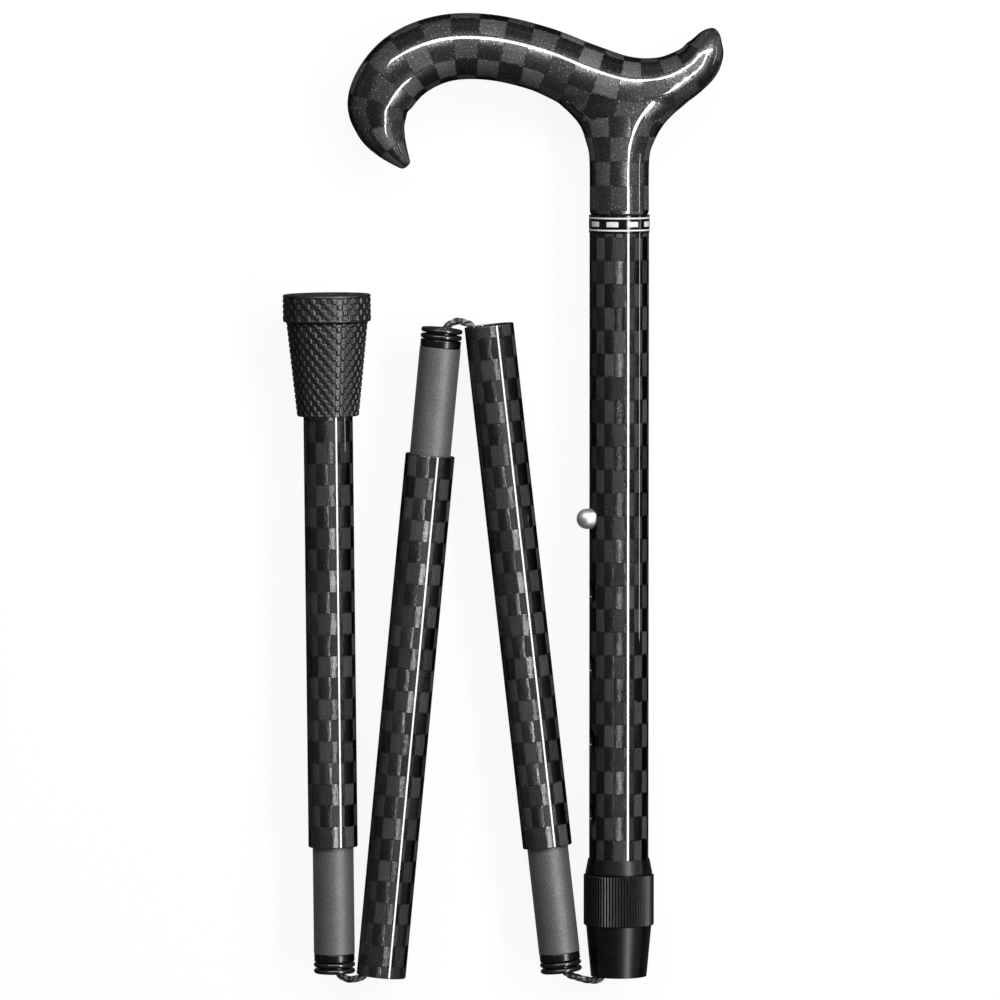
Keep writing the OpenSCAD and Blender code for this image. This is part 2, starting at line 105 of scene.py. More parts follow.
def piece(name, sheets, finish, body, nodes):  # sheets joined at their shared points into one mesh
    starts = np.cumsum([0] + [len(s[0]) for s in sheets[:-1]])
    points = np.concatenate([s[0] for s in sheets])
    quads = np.concatenate([s[1] + n for s, n in zip(sheets, starts)])
    corners = np.concatenate([s[2] for s in sheets])
    mesh = bpy.data.meshes.new(name)
    mesh.from_pydata(points, [], quads.tolist())
    mesh.uv_layers.new(name="along").data.foreach_set("uv", corners.reshape(-1).astype(np.float32))
    joined = bmesh.new()
    joined.from_mesh(mesh)
    bmesh.ops.remove_doubles(joined, verts=joined.verts, dist=2e-6)
    joined.to_mesh(mesh)
    joined.free()
    return dress(name, mesh, finish, body, nodes)


def dress(name, mesh, finish, body, nodes):  # a finished mesh becomes a smooth piece that rides on a body and stands for its solids
    mesh.polygons.foreach_set("use_smooth", np.ones(len(mesh.polygons), bool))
    mesh.materials.append(finish)
    made = placed(name, mesh)
    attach(made, body)
    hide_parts(*nodes)
    print(name, len(mesh.polygons), "faces")
    return made


def eased(outline, radius=0.25, steps=3, closed=True):  # outline with round corners, each held by a point on either side
    corners = np.asarray(outline, float)
    done = []
    for n, at in enumerate(corners):
        if not closed and n in (0, len(corners) - 1):
            done.append(at[None])
            continue
        before, after = corners[n - 1] - at, corners[(n + 1) % len(corners)] - at
        longBefore, longAfter = np.linalg.norm(before), np.linalg.norm(after)
        r = min(radius, 0.3 * longBefore, 0.3 * longAfter)
        a, b = at + before / longBefore * r, at + after / longAfter * r
        t = np.linspace(0, 1, steps + 1)[:, None]
        bend = (1 - t) ** 2 * a + 2 * t * (1 - t) * at + t ** 2 * b
        done.append(np.concatenate([[a + 0.5 * (a - at)], bend, [b + 0.5 * (b - at)]]))
    return np.concatenate(done)


def turned(outline, section, around=96, closed=True):  # an outline of radius and height carried round the section's axis
    if closed:
        outline = np.concatenate([outline, outline[:1]])
    angle = np.linspace(0, 2 * np.pi, around, endpoint=False)
    r, z = outline[:, :1], outline[:, 1:]
    return sheet(ringed(r, angle, z, section), roundUv(around, z), wrap=True)


# square patch round a hole, faces of the plain wall beside it, steps from the hole's edge to the square's
patch = {"rim": 1.6, "faces": 8, "plain": 84, "share": (0, 0.05, 0.12, 0.4, 0.7, 1)}


# tube wall with round holes in one line: a column of round-in-square patches, plain strips between them, plain wall elsewhere
def pierced(inside, outside, low, high, holes, hole, toward, section):
    half = hole / 2 + patch["rim"]
    side = np.linspace(-half, half, patch["faces"] + 1)
    start, edge = side[:-1], half + 0 * side[:-1]
    square = np.concatenate([np.stack(pair, -1) for pair in ((start, -edge), (edge, start), (-start, edge), (-edge, -start))])
    compass = np.arctan2(square[:, 1], square[:, 0])
    share = np.array(patch["share"])[:, None]
    lips = [low, low + 0.1, low + 0.3, high - 0.3, high - 0.1, high]
    levels = np.unique(np.round(np.concatenate([lips] + [h + side for h in holes]), 6))
    wide = side / outside
    around = np.linspace(half / outside, 2 * np.pi - half / outside, patch["plain"] + 1)

    def skin(radius, turn, height):  # a turn from the holes' line and a height, on a wall of that radius
        return ringed(radius, toward + turn, height, section)

    def along(turn, height):
        return np.stack(np.broadcast_arrays((toward + turn) / (2 * np.pi), height), -1)

    sheets, rims = [], []
    for radius, flip in ((outside, False), (inside, True)):
        strip = [low] + [v for h in holes for v in (h - half, h + half)] + [high]
        for a, b in zip(strip[0::2], strip[1::2]):
            height, turn = np.meshgrid(levels[(levels > a - 1e-4) & (levels < b + 1e-4)], wide, indexing="ij")
            sheets.append(sheet(skin(radius, turn, height), along(turn, height), flip=flip))
        height, turn = np.meshgrid(levels, around, indexing="ij")
        sheets.append(sheet(skin(radius, turn, height), along(turn, height), flip=flip))
        for h in holes:
            rim = np.stack([np.arcsin(hole / 2 * np.cos(compass) / radius), hole / 2 * np.sin(compass)], -1)
            outer = square / [outside, 1]
            turn = (1 - share) * rim[:, 0] + share * outer[:, 0]
            height = h + (1 - share) * rim[:, 1] + share * outer[:, 1]
            uv = along(turn, height)
            sheets.append(sheet(skin(radius, turn, height), np.concatenate([uv, uv[:, :1]], 1), wrap=True, flip=not flip))
            rims.append((h, skin(radius, turn[:1], height[:1])))
    for h in holes:
        outer, inner = [r for at, r in rims if at == h]
        sheets.append(sheet(np.concatenate([outer, inner]), wrap=True))
    turns = np.concatenate([wide[:-1], around[:-1]])[None]
    for height, flip in ((low, True), (high, False)):
        ends = np.concatenate([skin(radius, turns, height) for radius in (outside, inside)])
        sheets.append(sheet(ends, wrap=True, flip=flip))
    return sheets


def smoothLine(points, steps):  # curve through points with its ends held
    p = np.asarray(points, float)
    padded = np.concatenate([p[:1], p, p[-1:]])
    t = (np.arange(steps) / steps)[:, None, None]
    a, b, c, d = (padded[n:n + len(p) - 1][None] for n in range(4))
    run = 0.5 * (2 * b + (c - a) * t + (2 * a - 5 * b + 4 * c - d) * t ** 2 + (3 * b - a - 3 * c + d) * t ** 3)
    return np.concatenate([np.swapaxes(run, 0, 1).reshape(-1, p.shape[1]), p[-1:]])


def heading(line):  # unit steps along a flat curve
    ahead = np.gradient(line, axis=0)
    return ahead / np.linalg.norm(ahead, axis=1)[:, None]


def wayAlong(line):  # length from the curve's start to each point
    return np.concatenate([[0], np.cumsum(np.linalg.norm(np.diff(line, axis=0), axis=1))])


def capped(grid):  # rows gathered to a point at both ends
    first, last = grid[:1].mean(1, keepdims=True), grid[-1:].mean(1, keepdims=True)
    return np.concatenate([first + 0 * grid[:1], grid, last + 0 * grid[:1]])


# shader maths

class Wire:  # an output socket; arithmetic on wires adds Math nodes
    def __init__(self, bench, socket):
        self.bench, self.socket = bench, socket

    def math(self, operation, *others):
        return self.bench.node("ShaderNodeMath", {"operation": operation}, dict(enumerate((self, *others))))

    def __add__(self, other):
        return self.math("ADD", other)

    def __sub__(self, other):
        return self.math("SUBTRACT", other)

    def __rsub__(self, other):
        return self.bench.node("ShaderNodeMath", {"operation": "SUBTRACT"}, {0: other, 1: self})

    def __mul__(self, other):
        return self.math("MULTIPLY", other)

    def __truediv__(self, other):
        return self.math("DIVIDE", other)

    __radd__, __rmul__ = __add__, __mul__

    def step(self, low, high):  # 0 below low, 1 above high, smooth between
        return self.bench.node("ShaderNodeMapRange", {"interpolation_type": "SMOOTHSTEP"}, {0: self, 1: low, 2: high})


def withAlpha(value):  # a colour gets its alpha, anything else stays
    return (*value, 1) if isinstance(value, tuple) else value


class Bench:  # one material's nodes, or the world's
    def __init__(self, name, kind="materials"):
        self.material = getattr(bpy.data, kind).new(name)
        self.material.use_nodes = True
        self.tree = self.material.node_tree
        self.tree.nodes.clear()

    def node(self, kind, settings=None, values=None, out=0):
        made = self.tree.nodes.new(kind)
        for key, value in (settings or {}).items():
            if key == "stops":
                ramp = made.color_ramp.elements
                while len(ramp) < len(value):
                    ramp.new(0.5)
                for stop, (at, colour) in zip(ramp, value):
                    stop.position, stop.color = at, (*colour, 1)
            else:
                setattr(made, key, value)
        for key, value in (values or {}).items():
            if isinstance(value, Wire):
                self.tree.links.new(value.socket, made.inputs[key])
            else:
                made.inputs[key].default_value = value
        return Wire(self, made.outputs[out]) if made.outputs else None

    def place(self, source="UV"):  # three wires of a coordinate
        where = self.node("ShaderNodeTexCoord", out={"UV": 2, "Object": 3}[source])
        return [self.node("ShaderNodeSeparateXYZ", None, {0: where}, out=n) for n in range(3)]

    def vector(self, x, y, z=0.0):
        return self.node("ShaderNodeCombineXYZ", None, {0: x, 1: y, 2: z})

    def noise(self, at, scale, detail=2.0, rough=0.5):
        return self.node("ShaderNodeTexNoise", None, {"Vector": at, "Scale": scale, "Detail": detail, "Roughness": rough})

    def colours(self, factor, first, second):
        return self.node("ShaderNodeMix", {"data_type": "RGBA"}, {0: factor, 6: withAlpha(first), 7: withAlpha(second)}, out=2)

    def bump(self, height, depth):  # height of 0 to 1, depth in metres
        return self.node("ShaderNodeBump", None, {"Strength": 1.0, "Distance": depth, "Height": height})

    def gloss(self, weight, rim=(0.27, 0.36)):  # lacquer that shines where it faces the eye and dulls towards its rim
        facing = self.node("ShaderNodeLayerWeight", None, {0: 0.5}, out=1)
        return weight * (1 - facing.step(*rim))

    def done(self, **surface):
        shader = self.node("ShaderNodeBsdfPrincipled", None, {key: withAlpha(value) for key, value in surface.items()})
        self.node("ShaderNodeOutputMaterial", None, {0: shader})
        return self.material


# finishes

# square tows under clear lacquer: along the tube in one cell, round it and bright towards the light in the next
def carbonFinish(name, look):
    b = Bench(name)
    u, v, _ = b.place()
    wander = b.noise(b.vector(u * 30, v * 0.25), 1.0, 1.0)
    a = u * look["columns"] + (wander - 0.5) * look["wobble"]
    c = v / look["row"] + (b.noise(b.vector(u * 40, v * 0.12, 5.0), 1.0, 1.0) - 0.5) * look["wobble"]
    cellA, cellC = a.math("FLOOR"), c.math("FLOOR")
    inA, inC = a - cellA, c - cellC
    over = (cellA + cellC).math("FLOORED_MODULO", 2.0)
    tone = b.node("ShaderNodeTexWhiteNoise", {"noise_dimensions": "2D"}, {"Vector": b.vector(cellA + 0.5, cellC + 0.5)})
    lengthways = b.noise(b.vector(u * 170, v * 0.14), 1.0, 3.0, 0.7)
    roundways = b.noise(b.vector(u * 7, v * 2.6), 1.0, 3.0, 0.7)
    fibre = lengthways * (1 - over) + roundways * over
    seam = inA.math("MINIMUM", 1 - inA).math("MINIMUM", inC.math("MINIMUM", 1 - inC)).step(0.0, look["seam"])
    dull = look["dull"] * (0.5 + tone) * (0.2 + fibre * 1.6) * (0.5 + seam * 0.5)
    tow = look["tow"] * (0.4 + tone * 1.1) * (0.1 + fibre * 1.8)
    spark = b.noise(b.vector(u * 130, v * 1.9), 1.0, 2.0, 0.7).step(0.61, 0.68) * look["spark"]
    shade = (dull * (1 - over) + tow * over + spark).math("MINIMUM", 1.0)
    acrossC = (inC * 2 - 1) * (inC * 2 - 1)
    slope = inA if look["slant"] > 0 else 1 - inA  # a tow lies lower towards the side that the light comes from
    crown = (3.4 - slope * 2.1 - slope * slope * 0.6 - acrossC * 0.3) * over + (1 - acrossC) * (1 - over) * 0.1
    ripple = b.noise(b.vector(u * 70, v * 1.1), 1.0, 2.0)
    colour = b.colours(shade, (0.0, 0.0, 0.0), b.colours(tone, (1.0, 0.99, 0.95), (0.97, 0.985, 1.03)))
    return b.done(**{
        "Base Color": colour, "Metallic": look["base"] + over * look["metal"],
        "Roughness": 0.5 - over * look["smooth"] + (0.5 - fibre) * 0.2,
        "Normal": b.bump(crown + ripple * look["ripple"], look["crown"]),
        "Specular IOR Level": 0.0, "Specular Tint": (0.1, 0.1, 0.1),
        "Coat Weight": b.gloss(0.8), "Coat Roughness": 0.02, "Coat IOR": 1.9,
    })


def anodisedFinish():  # bead-blasted grey with faint marks along the tube
    b = Bench("greyAnodised")
    u, v, _ = b.place()
    grain = b.noise(b.vector(u * 70, v * 1.6), 1.0, 3.0, 0.7)
    marks = b.noise(b.vector(u * 90, v * 0.12), 1.0, 2.0).step(0.62, 0.74)
    cloud = b.noise(b.vector(u * 6, v * 0.09), 1.0, 2.0)
    colour = b.colours(grain.step(0.2, 0.8) * 0.7 + cloud * 0.3, (0.075, 0.075, 0.073), (0.25, 0.246, 0.235))
    marked = b.colours(marks * 0.35, colour, (0.36, 0.355, 0.34))
    return b.done(**{"Base Color": marked, "Metallic": 0.6, "Roughness": 0.42 + grain * 0.18, "Normal": b.bump(grain, 0.00012)})


def plasticFinish(name, look):  # satin moulded plastic with a fine grain
    b = Bench(name)
    x, y, z = b.place("Object")
    where = b.vector(x, y, z)
    grain = b.noise(where, 2600.0, 3.0, 0.6)
    wear = b.noise(where, 240.0, 3.0).step(0.45, 0.8)
    return b.done(**{
        "Base Color": b.colours(wear, look["deep"], look["pale"]),
        "Roughness": look["rough"] + (grain - 0.5) * 0.14,
        "Normal": b.bump(grain, look["grain"]), "Specular IOR Level": 0.05,
        "Coat Weight": b.gloss(look["shine"]), "Coat Roughness": look["rough"], "Coat IOR": 1.7,
    })


def metalFinish(name, colour, rough):  # bright metal with hair lines and a few dull spots
    b = Bench(name)
    x, y, z = b.place("Object")
    hair = b.noise(b.vector(x * 900, y * 140, z * 900), 1.0, 2.0)
    dull = b.noise(b.vector(x, y, z), 700.0, 2.0)
    spotted = b.colours(dull * 0.4, colour, tuple(c * 0.7 for c in colour))
    return b.done(**{"Base Color": spotted, "Metallic": 1.0, "Roughness": rough + (dull - 0.4) * 0.12, "Normal": b.bump(hair, 0.00001)})


def braidFinish():  # black braided sleeve with pale strands showing through
    b = Bench("braidedElastic")
    u, v, _ = b.place()
    one, two = u * 4 + v / 2.6, u * 4 - v / 2.6
    cell = b.vector((one * 2).math("FLOOR") + 0.5, (two * 2).math("FLOOR") + 0.5)
    strand = b.node("ShaderNodeTexWhiteNoise", {"noise_dimensions": "2D"}, {"Vector": cell})
    pale = strand.step(0.6, 0.7) * (0.5 + b.noise(b.vector(u * 90, v * 9), 1.0, 2.0) * 0.6)
    thread = b.noise(b.vector(one * 14, two * 14), 1.0, 2.0)
    colour = b.colours(pale, (0.012, 0.012, 0.013), (0.3, 0.3, 0.295))
    return b.done(**{"Base Color": colour, "Roughness": 0.62 + thread * 0.2, "Normal": b.bump(thread, 0.00012)})


def pearlFinish():  # shell inlay with soft colour bands
    b = Bench("shellInlay")
    u, v, _ = b.place()
    cloud = b.noise(b.vector(u * 34, v * 0.35), 1.0, 2.0, 0.55)
    bands = [
        (0.25, (0.55, 0.57, 0.56)), (0.4, (0.76, 0.75, 0.76)), (0.5, (0.56, 0.64, 0.66)),
        (0.58, (0.8, 0.72, 0.76)), (0.68, (0.62, 0.62, 0.72)), (0.8, (0.84, 0.83, 0.83)),
    ]
    tint = b.node("ShaderNodeValToRGB", {"stops": bands}, {0: cloud})
    return b.done(**{"Base Color": tint, "Roughness": 0.22 + cloud * 0.2, "Coat Weight": 0.8, "Coat Roughness": 0.04})


def lineFinish():  # pale lacquered line
    b = Bench("paleLine")
    u, v, _ = b.place()
    worn = b.noise(b.vector(u * 60, v * 2), 1.0, 3.0)
    colour = b.colours(worn, (0.62, 0.62, 0.6), (0.82, 0.82, 0.8))
    return b.done(**{"Base Color": colour, "Roughness": 0.25 + worn * 0.15, "Coat Weight": 0.6, "Coat Roughness": 0.04})


upperWeave = {
    "columns": 18.0, "row": 7.8, "wobble": 0.16, "seam": 0.07,  # cells round the tube, a cell's length in mm, its wandering edges
    "dull": 0.043, "tow": 0.047, "spark": 0.08,  # how pale the lengthways cells, the others and stray fibres are
    "crown": 0.00038, "ripple": 0.28, "slant": 1,  # a tow's relief in metres, its waviness, the side that it leans to
    "base": 0.1, "metal": 0.9, "smooth": 0.18,  # shine of every cell, and what the roundways cells add
}
lowerWeave = dict(upperWeave, columns=12.0, row=7.2, tow=0.095)
turnedWeave = dict(lowerWeave, slant=-1)  # for the tube that hangs upside down
gripWeave = dict(
    upperWeave, columns=10.0, row=8.2, dull=0.088, tow=0.095, spark=0.4,
    crown=0.00014, ripple=0.6, base=0.4, metal=0.55, smooth=0.17,
)
satinBlack = {"deep": (0.002, 0.0021, 0.0023), "pale": (0.005, 0.0053, 0.0057), "rough": 0.36, "grain": 0.00003, "shine": 0.55}
moulded = dict(satinBlack, rough=0.26, pale=(0.01, 0.0105, 0.012), shine=0.8)
rubberBlack = {"deep": (0.01, 0.0108, 0.0116), "pale": (0.02, 0.0214, 0.0228), "rough": 0.4, "grain": 0.00004, "shine": 1.0}
finishes = {
    "upper": carbonFinish("carbonUpper", upperWeave),
    "lower": carbonFinish("carbonLower", lowerWeave),
    "turned": carbonFinish("carbonTurned", turnedWeave),
    "grip": carbonFinish("carbonGrip", gripWeave),
    "ferrule": anodisedFinish(),
    "lock": plasticFinish("satinLock", satinBlack),
    "cap": plasticFinish("mouldedCap", moulded),
    "ring": plasticFinish("glossRing", dict(moulded, rough=0.14)),
    "rubber": plasticFinish("tipRubber", rubberBlack),
    "seal": plasticFinish("sealRubber", dict(rubberBlack, rough=0.2)),
    "button": metalFinish("polishedSteel", (0.8, 0.79, 0.77), 0.5),
    "spring": metalFinish("springSteel", (0.56, 0.56, 0.57), 0.3),
    "alloy": metalFinish("turnedAlloy", (0.6, 0.6, 0.61), 0.36),
    "braid": braidFinish(),
    "pearl": pearlFinish(),
    "line": lineFinish(),
}
print("finishes made")

# upper section

button = {
    "height": 154.8, "toward": math.radians(198),  # the hole that it sits in, and the way that the holes face
    "radius": 3.45, "tip": 14.9, "flange": 5.23, "flangeRadius": 4.45, "flangeThick": 1.0,
}
upper = {
    "inside": 8.7, "outside": 10.0, "low": 22.5, "high": 250.9,
    "holes": [54.8, 79.8, 104.8, 129.8, button["height"]], "hole": 7.6, "toward": button["toward"],
}
inner = {
    "inside": 7.1, "outside": 8.4, "low": 1.0, "high": 189.8,
    "holes": [button["height"]], "hole": 7.5, "toward": button["toward"],
}
piece("upperTube", pierced(section="first", **upper), finishes["upper"], "upper_section", ["upper_tube"])
piece("innerTube", pierced(section="first", **inner), finishes["upper"], "inner_section", ["inner_tube"])

collar = {
    "low": upper["high"], "height": 6.0, "radius": 10.2, "bore": 6.05,
    "lines": (0.7, 4.75), "lineHeight": 0.55, "lineProud": 0.01, "inlay": 0.6, "ease": 0.08, "around": 144,
    "tiles": 9, "tile": 2.1, "tileAngle": 26, "tileProud": 0.03, "tileFall": 0.09,
}


def collarPieces():  # black ring with two pale lines and a row of shell tiles let into it
    low, top, r, depth = collar["low"], collar["low"] + collar["height"], collar["radius"], collar["inlay"]
    proud, around = r + collar["lineProud"], collar["around"]
    tileLow = low + (collar["height"] - collar["tile"]) / 2
    cuts = [(low + z, low + z + collar["lineHeight"]) for z in collar["lines"]]
    outline = [(collar["bore"], low), (r, low)]
    for a, b in cuts:
        outline += [(r, a), (r - depth, a), (r - depth, b), (r, b)]
    ring = eased(outline + [(r, top), (collar["bore"], top)], collar["ease"], 2)
    piece("collarRing", [turned(ring, "first", around)], finishes["ring"], "upper_section", ["collar_ring"])
    bands = [eased([(r - depth, a), (proud, a), (proud, b), (r - depth, b)], collar["ease"], 2) for a, b in cuts]
    lines = [turned(band, "first", around) for band in bands]
    piece("collarLines", lines, finishes["line"], "upper_section", ["collar_lines"])
    across, up = np.meshgrid(np.linspace(-1, 1, 15), np.linspace(-1, 1, 9), indexing="ij")
    fall = np.maximum(np.abs(across), np.abs(up)) ** 14  # flat on top, turned down at the edge
    halfTile = across * math.radians(collar["tileAngle"] / 2) * (1 - 0.02 * up ** 8)  # edges drawn in at the corners
    height = tileLow + collar["tile"] / 2 * (1 + up * (1 - 0.05 * across ** 8))
    tiles = []
    for n in range(collar["tiles"]):
        angle = math.radians(-90 + collar["tileAngle"] + n * 360 / collar["tiles"]) + halfTile
        front = ringed(r + collar["tileProud"] - collar["tileFall"] * fall, angle, height)
        rear = ringed(r - depth, angle, height)
        uv = np.stack([angle / (2 * np.pi), height], -1)
        tiles += [sheet(front, uv, flip=True), sheet(rear, uv)]
        for edge, flip in ((np.s_[0, :], False), (np.s_[-1, :], True), (np.s_[:, 0], True), (np.s_[:, -1], False)):
            tiles.append(sheet(np.stack([front[edge], rear[edge]]), np.stack([uv[edge], uv[edge]]), flip=flip))
    piece("collarTiles", tiles, finishes["pearl"], "upper_section", ["collar_tiles"])


collarPieces()

lock = {
    "nose": 17.5, "noseEnd": 9.4, "noseTop": 11.05, "knurl": 17.0, "knurlRadius": 11.85, "ribs": 72, "depth": 0.36,
    "bore": 8.7, "nutBore": 10.85, "hollow": [(10.85, 22.2), (10.2, 17.5), (9.59, 10.7), (8.7, 10.7)],  # down the nut's inside
    "tube": 10.05, "thread": 10.55, "sleeve": 11.25, "sleeveEnd": 10.35, "gap": 0.3, "land": 0.9, "collar": 5.4,
}


def lockPieces():  # chamfered sleeve, and a nut whose radius falls and rises once for each rib
    top, low = lock["nose"] + lock["knurl"], upper["low"]
    sleeve = eased([
        (lock["tube"], low), (lock["thread"], low), (lock["thread"], top + lock["gap"]), (lock["sleeve"], top + lock["gap"]),
        (lock["sleeve"], top + lock["land"]), (lock["sleeveEnd"], top + lock["collar"]), (lock["tube"], top + lock["collar"]),
    ], 0.15)
    piece("lockSleeve", [turned(sleeve, "first", 128)], finishes["lock"], "upper_section", ["lock_sleeve"])
    share = np.array([0.04, 0.12, 0.38, 0.46, 0.54, 0.62, 0.88, 0.96])  # flat flanks, with a narrow crest and valley
    angle = ((np.arange(lock["ribs"])[:, None] + share) * 2 * np.pi / lock["ribs"]).ravel()
    rib = np.tile(np.interp(share, [0.04, 0.46, 0.54, 0.96], [1, 0, 0, 1]), lock["ribs"])
    skin = eased([
        (lock["bore"], 0.0), (lock["noseEnd"], 0.0), (lock["noseTop"], lock["nose"]),
        (lock["knurlRadius"], lock["nose"] + 0.02), (lock["knurlRadius"], top), (lock["nutBore"], top),
    ], 0.3, 5, closed=False)
    r, z = skin[:, :1], skin[:, 1:]
    knurled = np.clip((r - lock["noseTop"]) / (lock["knurlRadius"] - lock["noseTop"]), 0, 1) * (z > lock["nose"] - 0.1)
    radius = r - lock["depth"] * knurled * (1 - rib)
    cavity = np.array([(lock["nutBore"], top), *lock["hollow"], (lock["bore"], 0.0)])
    radius = np.concatenate([radius, cavity[:, :1] + 0 * angle])
    z = np.concatenate([z, cavity[:, 1:]])
    nut = sheet(ringed(radius, angle, z), roundUv(len(angle), z), wrap=True)
    piece("lockNut", [nut], finishes["lock"], "lock_nut", ["lock_nut"])


lockPieces()


def snapButton():  # a dome on a post with a flange, turned about the line that it is pressed along
    wide, flange, back = button["flangeRadius"], button["flange"], button["flange"] - button["flangeThick"]
    dome = button["tip"] - button["radius"]
    arc = np.linspace(0, np.pi / 2, 13)
    domed = np.stack([button["radius"] * np.cos(arc), dome + button["radius"] * np.sin(arc)], -1)
    outline = np.concatenate([[(0.0, back), (wide, back), (wide, flange), (button["radius"], flange)], domed])
    outline[-1, 0] = 0.0
    angle = np.linspace(0, 2 * np.pi, 64, endpoint=False)
    r, out = outline[:, :1], outline[:, 1:]
    side, up = r * np.cos(angle), r * np.sin(angle)
    ex, ey = math.cos(button["toward"]), math.sin(button["toward"])
    grid = np.stack([out * ex - side * ey, out * ey + side * ex, button["height"] + up], -1)
    post = sheet(lay(grid), roundUv(len(angle), out), wrap=True)
    piece("snapButton", [post], finishes["button"], "button", ["height_button"])


snapButton()

# handle

handle = {
    "height": 22.3, "thick": 26.0, "middle": 299.6, "low": 256.9, "neck": 10.0, "voxel": 0.0006, "calm": 14,
    "spine": [  # across, up, share of the height, share of the thickness
        (-71.3, -26.6, 0.16, 0.18), (-76.9, -19.2, 0.53, 0.57), (-80.1, -12.2, 0.8, 0.83), (-80.3, -3.8, 0.97, 0.96),
        (-72.5, 6.8, 1.03, 1), (-59.6, 12.9, 1.01, 1), (-44, 13.5, 0.99, 1), (-26.6, 9.6, 0.98, 1),
        (-11.6, 3.4, 1.02, 1), (2, -0.3, 0.97, 0.98), (14.7, 1.1, 0.83, 0.9), (24.5, 6.4, 0.7, 0.74),
        (28.5, 11.6, 0.61, 0.62), (30.5, 16, 0.41, 0.44), (32, 18.5, 0.22, 0.27), (32.7, 19.3, 0.08, 0.1),
    ],
    "flare": [  # up, wider across, wider through, moved across
        (0, 0, 0, 0), (18.4, 0.1, 0.3, 0), (24.2, 1.4, 0.8, 0.2), (29.6, 3.8, 1.4, 0.7),
        (34, 7.6, 1.9, 0.9), (38.2, 12.2, 2, 1), (41, 12.6, 2, 0.2),
    ],
    "archTop": -9.5, "archBow": 0.012, "archReach": 24,  # the weave follows the neck below this arch
}


def gripHandle():  # an oval carried along the grip's line and a flared neck, melted into one skin
    line = smoothLine(handle["spine"], 10)
    ahead = heading(line[:, :2])
    angle = np.linspace(0, 2 * np.pi, 72, endpoint=False)
    up, out = np.cos(angle) * line[:, 2:3] * handle["height"] / 2, np.sin(angle) * line[:, 3:4] * handle["thick"] / 2
    grip = np.stack([line[:, :1] - ahead[:, 1:] * up, out, line[:, 1:2] + handle["middle"] + ahead[:, :1] * up], -1)
    rise, wider, deeper, moved = np.split(smoothLine(handle["flare"], 8), 4, 1)
    across, through = (handle["neck"] + wider) * np.cos(angle) + moved, (handle["neck"] + deeper) * np.sin(angle)
    neck = np.stack([across, through, handle["low"] + rise + 0 * angle], -1)
    gripPoints, gripQuads, _ = sheet(lay(capped(grip)), wrap=True, flip=True)
    neckPoints, neckQuads, _ = sheet(lay(capped(neck)), wrap=True)
    rough = bpy.data.meshes.new("gripRough")
    quads = np.concatenate([gripQuads, neckQuads + len(gripPoints)])
    rough.from_pydata(np.concatenate([gripPoints, neckPoints]), [], quads.tolist())
    work = placed("gripRough", rough)
    melt = work.modifiers.new("melt", "REMESH")
    melt.mode, melt.voxel_size = "VOXEL", handle["voxel"]
    calm = work.modifiers.new("calm", "SMOOTH")
    calm.factor, calm.iterations = 0.5, handle["calm"]
    mesh = bpy.data.meshes.new_from_object(work.evaluated_get(bpy.context.evaluated_depsgraph_get()))
    bpy.data.objects.remove(work)
    mesh.name = "gripHandle"
    co = np.empty(len(mesh.vertices) * 3, np.float32)
    mesh.vertices.foreach_get("co", co)
    co = co.reshape(-1, 3)
    floor = (handle["low"] + shift[1]) * mm
    co[:, 1] = np.maximum(co[:, 1], floor + 0.00002)  # flat on the ring
    mesh.vertices.foreach_set("co", co.ravel())
    mesh.uv_layers.new(name="along").data.foreach_set("uv", handleWeave(mesh, co, line).ravel().astype(np.float32))
    return dress("gripHandle", mesh, finishes["grip"], "upper_section", ["handle"])


def handleWeave(mesh, co, line):  # each face takes its turn round and way along from the grip's line, or from the neck below it
    x, z, y = co[:, 0] / mm - shift[0], co[:, 1] / mm - shift[1] - handle["middle"], fold["axisHeight"] - co[:, 2] / mm
    along, ahead = wayAlong(line[:, :2]), heading(line[:, :2])
    near = np.argmin((x[:, None] - line[None, :, 0]) ** 2 + (z[:, None] - line[None, :, 1]) ** 2, 1)
    off = np.stack([x - line[near, 0], z - line[near, 1]], -1)
    up = -ahead[near, 1] * off[:, 0] + ahead[near, 0] * off[:, 1]
    past = ahead[near, 0] * off[:, 0] + ahead[near, 1] * off[:, 1]
    gripUv = np.stack([np.arctan2(y, up) / (2 * np.pi), along[near] + past], -1)
    neckUv = np.stack([np.arctan2(y, x) / (2 * np.pi), z], -1)
    loops = np.empty(len(mesh.loops), np.int32)
    mesh.loops.foreach_get("vertex_index", loops)
    owner = np.repeat(np.arange(len(mesh.polygons)), np.diff(np.append([p.loop_start for p in mesh.polygons], len(loops))))
    starts = np.unique(owner, return_index=True)[1]
    sizes = np.diff(np.append(starts, len(loops)))
    middleX, middleZ = (np.add.reduceat(v[loops], starts) / sizes for v in (x, z))
    below = (middleZ < handle["archTop"] - handle["archBow"] * middleX ** 2) & (np.abs(middleX) < handle["archReach"])
    uv = np.where(below[owner][:, None], neckUv[loops], gripUv[loops])
    high = np.maximum.reduceat(uv[:, 0], starts)[owner]
    uv[:, 0] += (high - uv[:, 0] > 0.5)  # faces across the seam stay whole
    return uv


gripHandle()

# lower sections

lower = {
    "socket": 7.1, "outside": 8.3, "length": 177.0,  # tube
    "ferrule": 6.9, "bore": 5.3, "reach": 43.0, "hold": 25.0,  # ferrule, from the cap's face to the tube and on inside it
    "capLength": 6.8, "seat": 4.2, "groove": 5.25, "hole": 3.0, "chamfer": 0.8, "stem": 12.0,  # end cap
    "ringRadius": 7.05, "ringThick": 1.8, "ringWire": 0.85,
    "fit": 0.05,  # play between pieces that are pushed together
}


